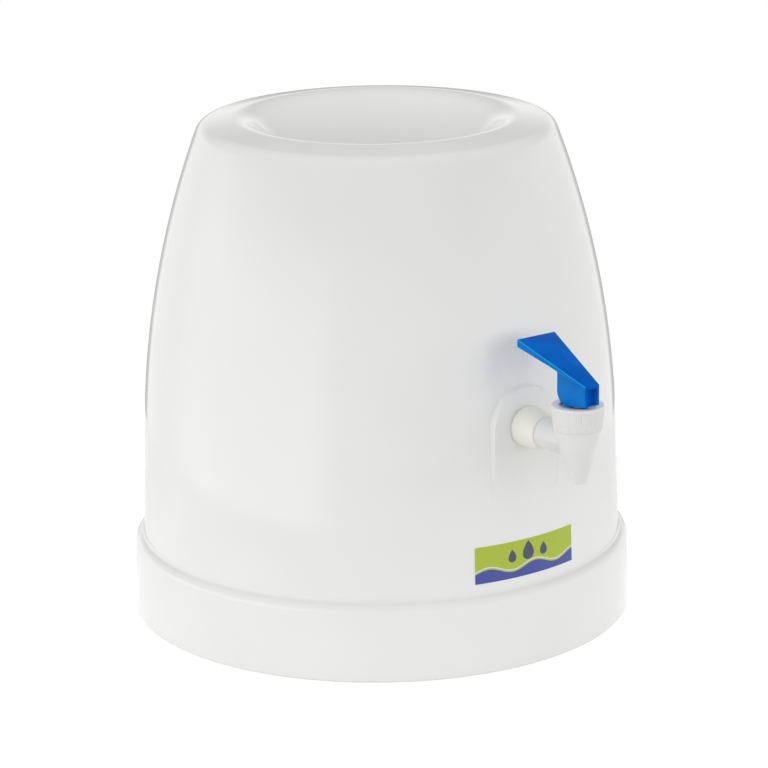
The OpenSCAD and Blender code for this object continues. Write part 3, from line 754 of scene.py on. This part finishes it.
def chosen(tree, mask, first, second):
    """One of two numbers or sockets, by a mask of 0 or 1."""
    node = tree.nodes.new("ShaderNodeMix")
    tree.links.new(mask, node.inputs["Factor"])
    for socket, value in ((node.inputs["A"], first), (node.inputs["B"], second)):
        feed(tree, socket, value)
    return node.outputs["Result"]


# Shared effects

def moulding_group():
    """Surface of a moulded piece: slow flow clouds, fine grain, hairline marks and lighter edges,
    which are partly wear and partly a painted highlight.
    """
    tree = bpy.data.node_groups.new("moulded_surface", "ShaderNodeTree")
    inputs, outputs = socket_names(
        tree, [("Cloud Scale", 14.0), ("Grain Scale", 1400.0), ("Mark Length", 1.0)],
        ["Cloud", "Grain", "Marks", "Edge"])
    place = coordinates(tree)
    cloud = noise(tree, place, inputs.outputs["Cloud Scale"], 3.0)
    grain = noise(tree, place, inputs.outputs["Grain Scale"], 2.0)
    long_way = stretched(tree, place, (260, 260, 16), 0.4)
    streaks = noise(tree, long_way, inputs.outputs["Mark Length"], 1.0)
    patches = noise(tree, place, 22.0, 1.0)
    marks = math_node(tree, "MULTIPLY", map_range(tree, streaks, 0.66, 0.72, 0, 1),
                      map_range(tree, patches, 0.52, 0.68, 0, 1))
    # Edge mask from pointiness: lighter edges, partly wear and partly a painted highlight.
    sharp = tree.nodes.new("ShaderNodeNewGeometry").outputs["Pointiness"]
    edge = map_range(tree, sharp, 0.53, 0.62, 0, 1)
    for socket, name in ((cloud, "Cloud"), (grain, "Grain"), (marks, "Marks"), (edge, "Edge")):
        tree.links.new(socket, outputs.inputs[name])
    return tree


def drop_group():
    """Mask of a water drop on the label: rounded foot, pointed top."""
    tree = bpy.data.node_groups.new("water_drop", "ShaderNodeTree")
    inputs, outputs = socket_names(
        tree, [("U", 0.0), ("V", 0.0), ("Centre", 0.0), ("Foot", 0.0), ("Height", 8.0)], ["Mask"])
    take = inputs.outputs
    up = math_node(tree, "SUBTRACT", take["V"], take["Foot"])
    share = math_node(tree, "DIVIDE", up, take["Height"])
    inside = math_node(tree, "MINIMUM", math_node(tree, "MAXIMUM", share, 0.0), 1.0)
    taper = math_node(tree, "SUBTRACT", 1.0, inside)
    bulge = math_node(tree, "MULTIPLY", math_node(tree, "SQRT", inside), taper)
    half = math_node(tree, "MULTIPLY", math_node(tree, "MULTIPLY", bulge, take["Height"]), 0.92)
    beside = math_node(tree, "ABSOLUTE", math_node(tree, "SUBTRACT", take["U"], take["Centre"]))
    tree.links.new(math_node(tree, "LESS_THAN", beside, half), outputs.inputs["Mask"])
    return tree


MOULDED = moulding_group()
DROP = drop_group()


def use_group(tree, group, **values):
    node = tree.nodes.new("ShaderNodeGroup")
    node.node_tree = group
    for name, value in values.items():
        feed(tree, node.inputs[name.replace("_", " ")], value)
    return node.outputs


def new_material(name, **constants):
    """Material with a Principled shader; constants are set on the shader's own sockets."""
    material = bpy.data.materials.new(name)
    material.use_nodes = True
    tree = material.node_tree
    shader = next(node for node in tree.nodes if node.type == "BSDF_PRINCIPLED")
    for socket, value in constants.items():
        shader.inputs[socket.replace("_", " ")].default_value = value
    return material, tree, shader


def add_bump(tree, shader, height, distance):
    bump = tree.nodes.new("ShaderNodeBump")
    bump.inputs["Distance"].default_value = distance
    bump.inputs["Strength"].default_value = 1.0
    tree.links.new(height, bump.inputs["Height"])
    tree.links.new(bump.outputs["Normal"], shader.inputs["Normal"])


def lever_painted_highlights(tree):
    """Where the lever gets painted light: thin painted highlights by its top and underside, and its
    sides painted a little lighter.
    """
    x, y, z = split(tree, coordinates(tree))
    facing = split(tree, coordinates(tree, "Normal"))["X"]
    across = math_node(tree, "MULTIPLY", math_node(tree, "ABSOLUTE", x), 1 / MM)
    u = math_node(tree, "MULTIPLY_ADD", y, 1 / MM, TAP_Y)
    w = math_node(tree, "MULTIPLY_ADD", z, 1 / MM, -PIN_Z)
    spread = lever_half_width(1) - lever_half_width(0)
    half = math_node(tree, "MULTIPLY_ADD", u, spread, lever_half_width(0))
    top = math_node(tree, "MULTIPLY_ADD", u, lever_top(1) - lever_top(0), lever_top(0))
    flare = (LEVER_END_T - LEVER_HEEL_T) / (LEVER_END - HEEL_REAR)
    deep = math_node(tree, "MULTIPLY_ADD", u, flare, LEVER_HEEL_T - flare * HEEL_REAR)
    inset = math_node(tree, "SUBTRACT", half, across)
    below = math_node(tree, "SUBTRACT", top, w)
    above = math_node(tree, "ABSOLUTE", math_node(tree, "SUBTRACT", deep, below))
    near_top = math_node(tree, "MAXIMUM", inset, below)
    near_underside = math_node(tree, "MAXIMUM", inset, above)
    upper_highlight = map_range(tree, near_top, HIGHLIGHT_FULL, HIGHLIGHT_END, HIGHLIGHT_UPPER, 0)
    lower_highlight = map_range(tree, near_underside, HIGHLIGHT_FULL, HIGHLIGHT_END, HIGHLIGHT_LOWER, 0)
    rear = map_range(tree, u, -12, 10, 0, 1)
    # Side faces painted a little lighter by how they face: painted light.
    sides = map_range(tree, math_node(tree, "ABSOLUTE", facing), 0.5, 0.9, 0, SIDE_PAINTED_LIGHT)
    painted_highlights = math_node(tree, "MAXIMUM", upper_highlight, math_node(tree, "MULTIPLY", lower_highlight, rear))
    return math_node(tree, "MAXIMUM", painted_highlights, sides)


def moulded_plastic(name, colour, shadow, edge, roughness, grain,
                    cloud_scale=14.0, painted_highlights=None, **constants):
    """Moulded plastic: colour drifts at random to a second shade, edges lighten (partly wear,
    partly a painted highlight), marks dull the gloss.

    grain is the fine grain's height in millimetres. painted_highlights makes a mask of painted
    highlights to use instead of the lighter edges.
    """
    material, tree, shader = new_material(name, **constants)
    surface = use_group(tree, MOULDED, Cloud_Scale=cloud_scale)
    drift = map_range(tree, surface["Cloud"], 0.35, 0.7, 0, 1)
    body = mixed(tree, drift, colour, shadow)
    # The lighter places: the given painted highlights and painted side light, or else the edges,
    # partly wear and partly a painted highlight.
    light = painted_highlights(tree) if painted_highlights else math_node(tree, "MULTIPLY", surface["Edge"], 0.5)
    tree.links.new(mixed(tree, light, body, edge), shader.inputs["Base Color"])
    dull = math_node(tree, "MULTIPLY_ADD", surface["Marks"], 0.05, roughness)
    dull = math_node(tree, "MULTIPLY_ADD", surface["Cloud"], 0.06, dull)
    tree.links.new(dull, shader.inputs["Roughness"])
    height = math_node(tree, "MULTIPLY_ADD", surface["Marks"], -0.25, surface["Grain"])
    add_bump(tree, shader, height, grain * MM)
    return material


def shell_white():
    return moulded_plastic(
        "white_shell_plastic", (0.88, 0.88, 0.862), (0.865, 0.867, 0.85), (0.90, 0.90, 0.883),
        roughness=0.05, grain=0.002, IOR=1.49)


def base_white():
    return moulded_plastic(
        "white_base_plastic", (0.88, 0.88, 0.862), (0.862, 0.864, 0.848), (0.90, 0.90, 0.883),
        roughness=0.09, grain=0.003, IOR=1.49)


def tap_white():
    return moulded_plastic(
        "white_tap_plastic", (0.86, 0.857, 0.845), (0.84, 0.837, 0.825), (0.88, 0.877, 0.865),
        roughness=0.28, grain=0.006, cloud_scale=60.0, IOR=1.49)


def collar_cream():
    return moulded_plastic(
        "cream_collar_plastic", (0.94, 0.925, 0.855), (0.92, 0.905, 0.835), (0.95, 0.94, 0.89),
        roughness=0.3, grain=0.006, cloud_scale=60.0, IOR=1.49)


def lever_blue():
    # The third colour is the colour of the painted highlights and the painted side light.
    return moulded_plastic(
        "blue_lever_plastic", (0.001, 0.15, 0.65), (0.001, 0.11, 0.51), (0.04, 0.56, 0.9),
        roughness=0.14, grain=0.003, cloud_scale=60.0, painted_highlights=lever_painted_highlights, IOR=1.49,
        Specular_IOR_Level=0.05, Specular_Tint=(0.12, 0.55, 1.0, 1))


def tank_natural():
    return moulded_plastic(
        "natural_tank_plastic", (0.74, 0.75, 0.75), (0.71, 0.72, 0.73), (0.78, 0.78, 0.78),
        roughness=0.38, grain=0.01, cloud_scale=30.0, IOR=1.5)


def soft_rubber(name, colour, shade_colour):
    return moulded_plastic(name, colour, shade_colour, colour,
                           roughness=0.5, grain=0.012, cloud_scale=90.0, IOR=1.42)


def brushed_metal(name, colour, streak_scale, metallic=1.0):
    """Steel with drawn streaks that vary its colour, roughness and height."""
    material, tree, shader = new_material(name, Metallic=metallic)
    streak = noise(tree, stretched(tree, coordinates(tree), streak_scale), 1.0, 3.0)
    dark = tuple(0.72 * value for value in colour)
    tree.links.new(mixed(tree, streak, dark, colour), shader.inputs["Base Color"])
    tree.links.new(map_range(tree, streak, 0.3, 0.7, 0.24, 0.42), shader.inputs["Roughness"])
    add_bump(tree, shader, streak, 0.01 * MM)
    return material


def label_print():
    """Printed sheet: green field over a blue wave, a pale line along the crest and three drops.

    u runs along the sheet from its middle and v up from its lower edge, in millimetres.
    """
    material, tree, shader = new_material("label_print", IOR=1.5)
    x, y, z = split(tree, coordinates(tree))
    angle = math_node(tree, "ARCTAN2", x, math_node(tree, "MULTIPLY", y, -1.0))
    u = math_node(tree, "MULTIPLY", angle, float(wall_r(LABEL_Z)))
    v = math_node(tree, "MULTIPLY_ADD", z, 1 / MM, -LABEL_Z)
    swell = math_node(tree, "SINE", math_node(tree, "MULTIPLY_ADD", u, TURN / 31, 0.6))
    crest = math_node(tree, "MULTIPLY_ADD", swell, 1.9, 5.6)
    below = math_node(tree, "LESS_THAN", v, crest)
    above = math_node(tree, "SUBTRACT", v, crest)
    line = math_node(tree, "COMPARE", above, 1.2, 0.35)
    ink = noise(tree, coordinates(tree), 1800.0)
    field = mixed(tree, ink, (0.40, 0.51, 0.035), (0.45, 0.56, 0.05))
    water = mixed(tree, ink, (0.048, 0.07, 0.33), (0.065, 0.09, 0.39))
    colour = mixed(tree, below, field, water)
    colour = mixed(tree, line, colour, (0.74, 0.76, 0.70))
    for centre, foot, height in ((-11.0, 9.2, 7.4), (0.0, 9.0, 11.0), (11.0, 9.6, 7.4)):
        drop = use_group(tree, DROP, U=u, V=v, Centre=centre, Foot=foot, Height=height)
        colour = mixed(tree, drop["Mask"], colour, (0.06, 0.075, 0.13))
    tree.links.new(colour, shader.inputs["Base Color"])
    tree.links.new(map_range(tree, ink, 0.3, 0.7, 0.3, 0.42), shader.inputs["Roughness"])
    return material


# Studio

def studio_place(right, near, up):
    """Point in metres from the body's axis: to the picture's right, towards the viewer, and up."""
    turn = math.radians(VIEW_TURN)
    x = right * math.cos(turn) - near * math.sin(turn)
    y = -right * math.sin(turn) - near * math.cos(turn)
    return Vector((x, y, up))


def make_camera():
    data = bpy.data.cameras.new("view")
    data.lens, data.sensor_width, data.shift_x = VIEW_LENS, 36.0, VIEW_SHIFT
    camera = bpy.data.objects.new("view", data)
    bpy.context.scene.collection.objects.link(camera)
    rise = math.radians(VIEW_RISE)
    back = studio_place(0, math.cos(rise), math.sin(rise))
    camera.location = Vector((0, 0, VIEW_TARGET_Z * MM)) + back * VIEW_DISTANCE * MM
    look = (-back).to_track_quat("-Z", "Y").to_matrix().to_4x4()
    roll = Matrix.Rotation(math.radians(-VIEW_ROLL), 4, "Z")
    camera.rotation_euler = (look @ roll).to_euler()
    data.clip_start, data.clip_end = 0.05, 50
    bpy.context.scene.camera = camera


def soft_box(name, place, target, size, power):
    """Area lamp that only lights; the gloss shows the room instead."""
    data = bpy.data.lights.new(name, "AREA")
    data.shape, data.size, data.size_y, data.energy = "RECTANGLE", size[0], size[1], power
    lamp = bpy.data.objects.new(name, data)
    bpy.context.scene.collection.objects.link(lamp)
    lamp.location = place
    lamp.visible_glossy = False
    lamp.rotation_euler = (Vector(target) - Vector(place)).to_track_quat("-Z", "Y").to_euler()


def by_height(tree, up, low, walls, ceiling, edge):
    """The room's brightness by a direction's height: below the horizon, at the walls, overhead."""
    upright = map_range(tree, up, -0.05, 0.02, low, walls)
    overhead = map_range(tree, up, *edge, 0, 1)
    return math_node(tree, "MULTIPLY_ADD", overhead, ceiling - walls, upright)


def along(tree, way, right, near):
    """Share of a direction or a place along a level line of the studio."""
    node = tree.nodes.new("ShaderNodeVectorMath")
    node.operation = "DOT_PRODUCT"
    tree.links.new(way, node.inputs[0])
    node.inputs[1].default_value = studio_place(right, near, 0)
    return node.outputs["Value"]


def side_turn(tree, way):
    """Turn of a direction or a place about the axis: 0 in front, positive to the picture's left."""
    return math_node(tree, "ARCTAN2", along(tree, way, -1, 0), along(tree, way, 0, 1))


def gloss_pattern(tree, way, up):
    """The room as gloss shows it: even walls, dimmer behind, a bright panel on the left."""
    turn = side_turn(tree, way)
    behind = map_range(tree, math_node(tree, "ABSOLUTE", turn), 2.72, 2.81, 0, 1)
    gap = map_range(tree, up, -0.05, 0.1, GLOSS_GAP - GLOSS_WALLS, 0)
    walls = by_height(tree, up, GLOSS_WALLS, GLOSS_WALLS, GLOSS_CEILING, GLOSS_EDGE)
    room = math_node(tree, "ADD", math_node(tree, "MULTIPLY", behind, gap), walls)
    left = math_node(tree, "MULTIPLY", map_range(tree, turn, 0.3, 0.6, 0, 1),
                     map_range(tree, turn, 1.6, 2.2, 1, 0))
    panel = math_node(tree, "MULTIPLY", left, map_range(tree, up, 0.05, 0.35, GLOSS_PANEL, 0))
    return math_node(tree, "ADD", panel, room)


def ray_kinds(tree):
    """1 for rays that show the background to the viewer, and 1 for rays that show it in gloss."""
    path = tree.nodes.new("ShaderNodeLightPath").outputs
    seen = math_node(tree, "MAXIMUM", path["Is Camera Ray"], path["Is Transmission Ray"])
    return seen, path["Is Glossy Ray"]


def make_world():
    """White room: how it lights by height, and how it shows in gloss. Seen directly it is white."""
    world = bpy.data.worlds.new("studio")
    bpy.context.scene.world = world
    world.use_nodes = True
    tree = world.node_tree
    shader = next(node for node in tree.nodes if node.type == "BACKGROUND")
    way = coordinates(tree, "Generated")
    up = split(tree, way)["Z"]
    seen, gloss = ray_kinds(tree)
    lit = by_height(tree, up, *ROOM_LIGHT, ROOM_EDGE)
    level = chosen(tree, gloss, lit, gloss_pattern(tree, way, up))
    tree.links.new(chosen(tree, seen, level, 1.0), shader.inputs["Strength"])
    shader.inputs["Color"].default_value = (1, 1, 1, 1)


def make_floor():
    """Round pale floor that keeps the object's shadow: near white, its sides brighter in gloss."""
    mesh = bpy.data.meshes.new("floor")
    rim = [(FLOOR_R * math.cos(a), FLOOR_R * math.sin(a), 0) for a in even_turn(FLOOR_SIDES)]
    mesh.from_pydata(rim, [], [list(range(FLOOR_SIDES))])
    floor = bpy.data.objects.new("floor", mesh)
    bpy.context.scene.collection.objects.link(floor)
    material, tree, shader = new_material("pale_floor", Roughness=0.9, Specular_IOR_Level=0.0,
                                          Emission_Color=(1, 1, 1, 1))
    place = coordinates(tree)
    tone = noise(tree, place, 3.0)
    seen, gloss = ray_kinds(tree)
    shown = math_node(tree, "MAXIMUM", seen, gloss)
    colour = mixed(tree, tone, (0.82, 0.82, 0.82), (0.84, 0.84, 0.84))
    tree.links.new(mixed(tree, shown, colour, (0.25, 0.25, 0.25)), shader.inputs["Base Color"])
    beside = math_node(tree, "ABSOLUTE", side_turn(tree, place))
    sides = math_node(tree, "MULTIPLY", map_range(tree, beside, 0.4, 1.4, 0, FLOOR_SHEEN),
                      map_range(tree, beside, 1.6, 2.2, 1, 0))
    mirrored = math_node(tree, "MULTIPLY", gloss, math_node(tree, "ADD", sides, FLOOR_GLOSS))
    glow = math_node(tree, "MULTIPLY_ADD", seen, FLOOR_GLOW, mirrored)
    tree.links.new(glow, shader.inputs["Emission Strength"])
    mesh.materials.append(material)


def make_studio():
    bpy.context.scene.view_settings.view_transform = "Standard"
    make_world()
    make_floor()
    target = (0, 0, 0.15)
    soft_box("left_panel", studio_place(-1.3, 0.7, 0.42), target, (0.9, 0.9), LEFT_POWER)
    soft_box("right_panel", studio_place(1.26, 1.22, 0.85), target, (0.5, 0.5), RIGHT_POWER)


# Assembly

def dress(piece, body, slot, material, *nodes):
    """Gives a new piece its material and its body, and hides the CAD nodes that it stands for. The
    slot argument is not used.
    """
    piece.data.materials.clear()
    piece.data.materials.append(material)
    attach(piece, body)
    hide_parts(*nodes)
    return piece


def finish_nodes(material, *nodes):
    """Gives carried-over CAD nodes their finish."""
    for node in nodes:
        mesh = frame["nodes"][node].data
        mesh.materials.clear()
        mesh.materials.append(material)


make_camera()

white_tap = tap_white()
dress(outer_shell(), "housing", "shell_white", shell_white(), "outer_shell")
dress(base_ring(), "housing", "base_white", base_white(), "base_ring")
dress(front_label(), "housing", "label_print", label_print(), "front_label")
dress(tap_body(), "housing", "tap_white", white_tap, "tap_body")
dress(tap_bonnet(), "housing", "tap_white", white_tap, "tap_bonnet")
dress(tap_collar(), "housing", "collar_cream", collar_cream(), "tap_collar")
dress(tap_lever(), "lever", "lever_blue", lever_blue(), "tap_lever")

white_rubber = soft_rubber("white_rubber", (0.74, 0.73, 0.70), (0.70, 0.69, 0.66))
clear_silicone = soft_rubber("milky_silicone", (0.70, 0.71, 0.70), (0.64, 0.65, 0.65))
dress(pad_washer(), "housing", "washer_rubber", white_rubber, "outer_washer")

spring_steel = brushed_metal("spring_wire_steel", (0.62, 0.62, 0.63), (2000, 2000, 2000))
coil = dress(valve_coil(), "swivel", "spring_steel", spring_steel, "valve_spring")
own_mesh(coil)

finish_nodes(tank_natural(), "water_tank")
finish_nodes(brushed_metal("zinc_plated_steel", (0.60, 0.61, 0.63), (300, 300, 900)), "base_screws")
satin_steel = brushed_metal("satin_steel", (0.74, 0.75, 0.76), (900, 900, 200), metallic=0.5)
finish_nodes(satin_steel, "cam_washer", "lever_pin")
finish_nodes(clear_silicone, "bonnet_gasket", "stem_seal", "valve_plug")
finish_nodes(white_rubber, "inner_washer")
finish_nodes(white_tap, "valve_stem", "shank_sleeve", "lock_nut")

make_studio()

bpy.context.view_layer.update()
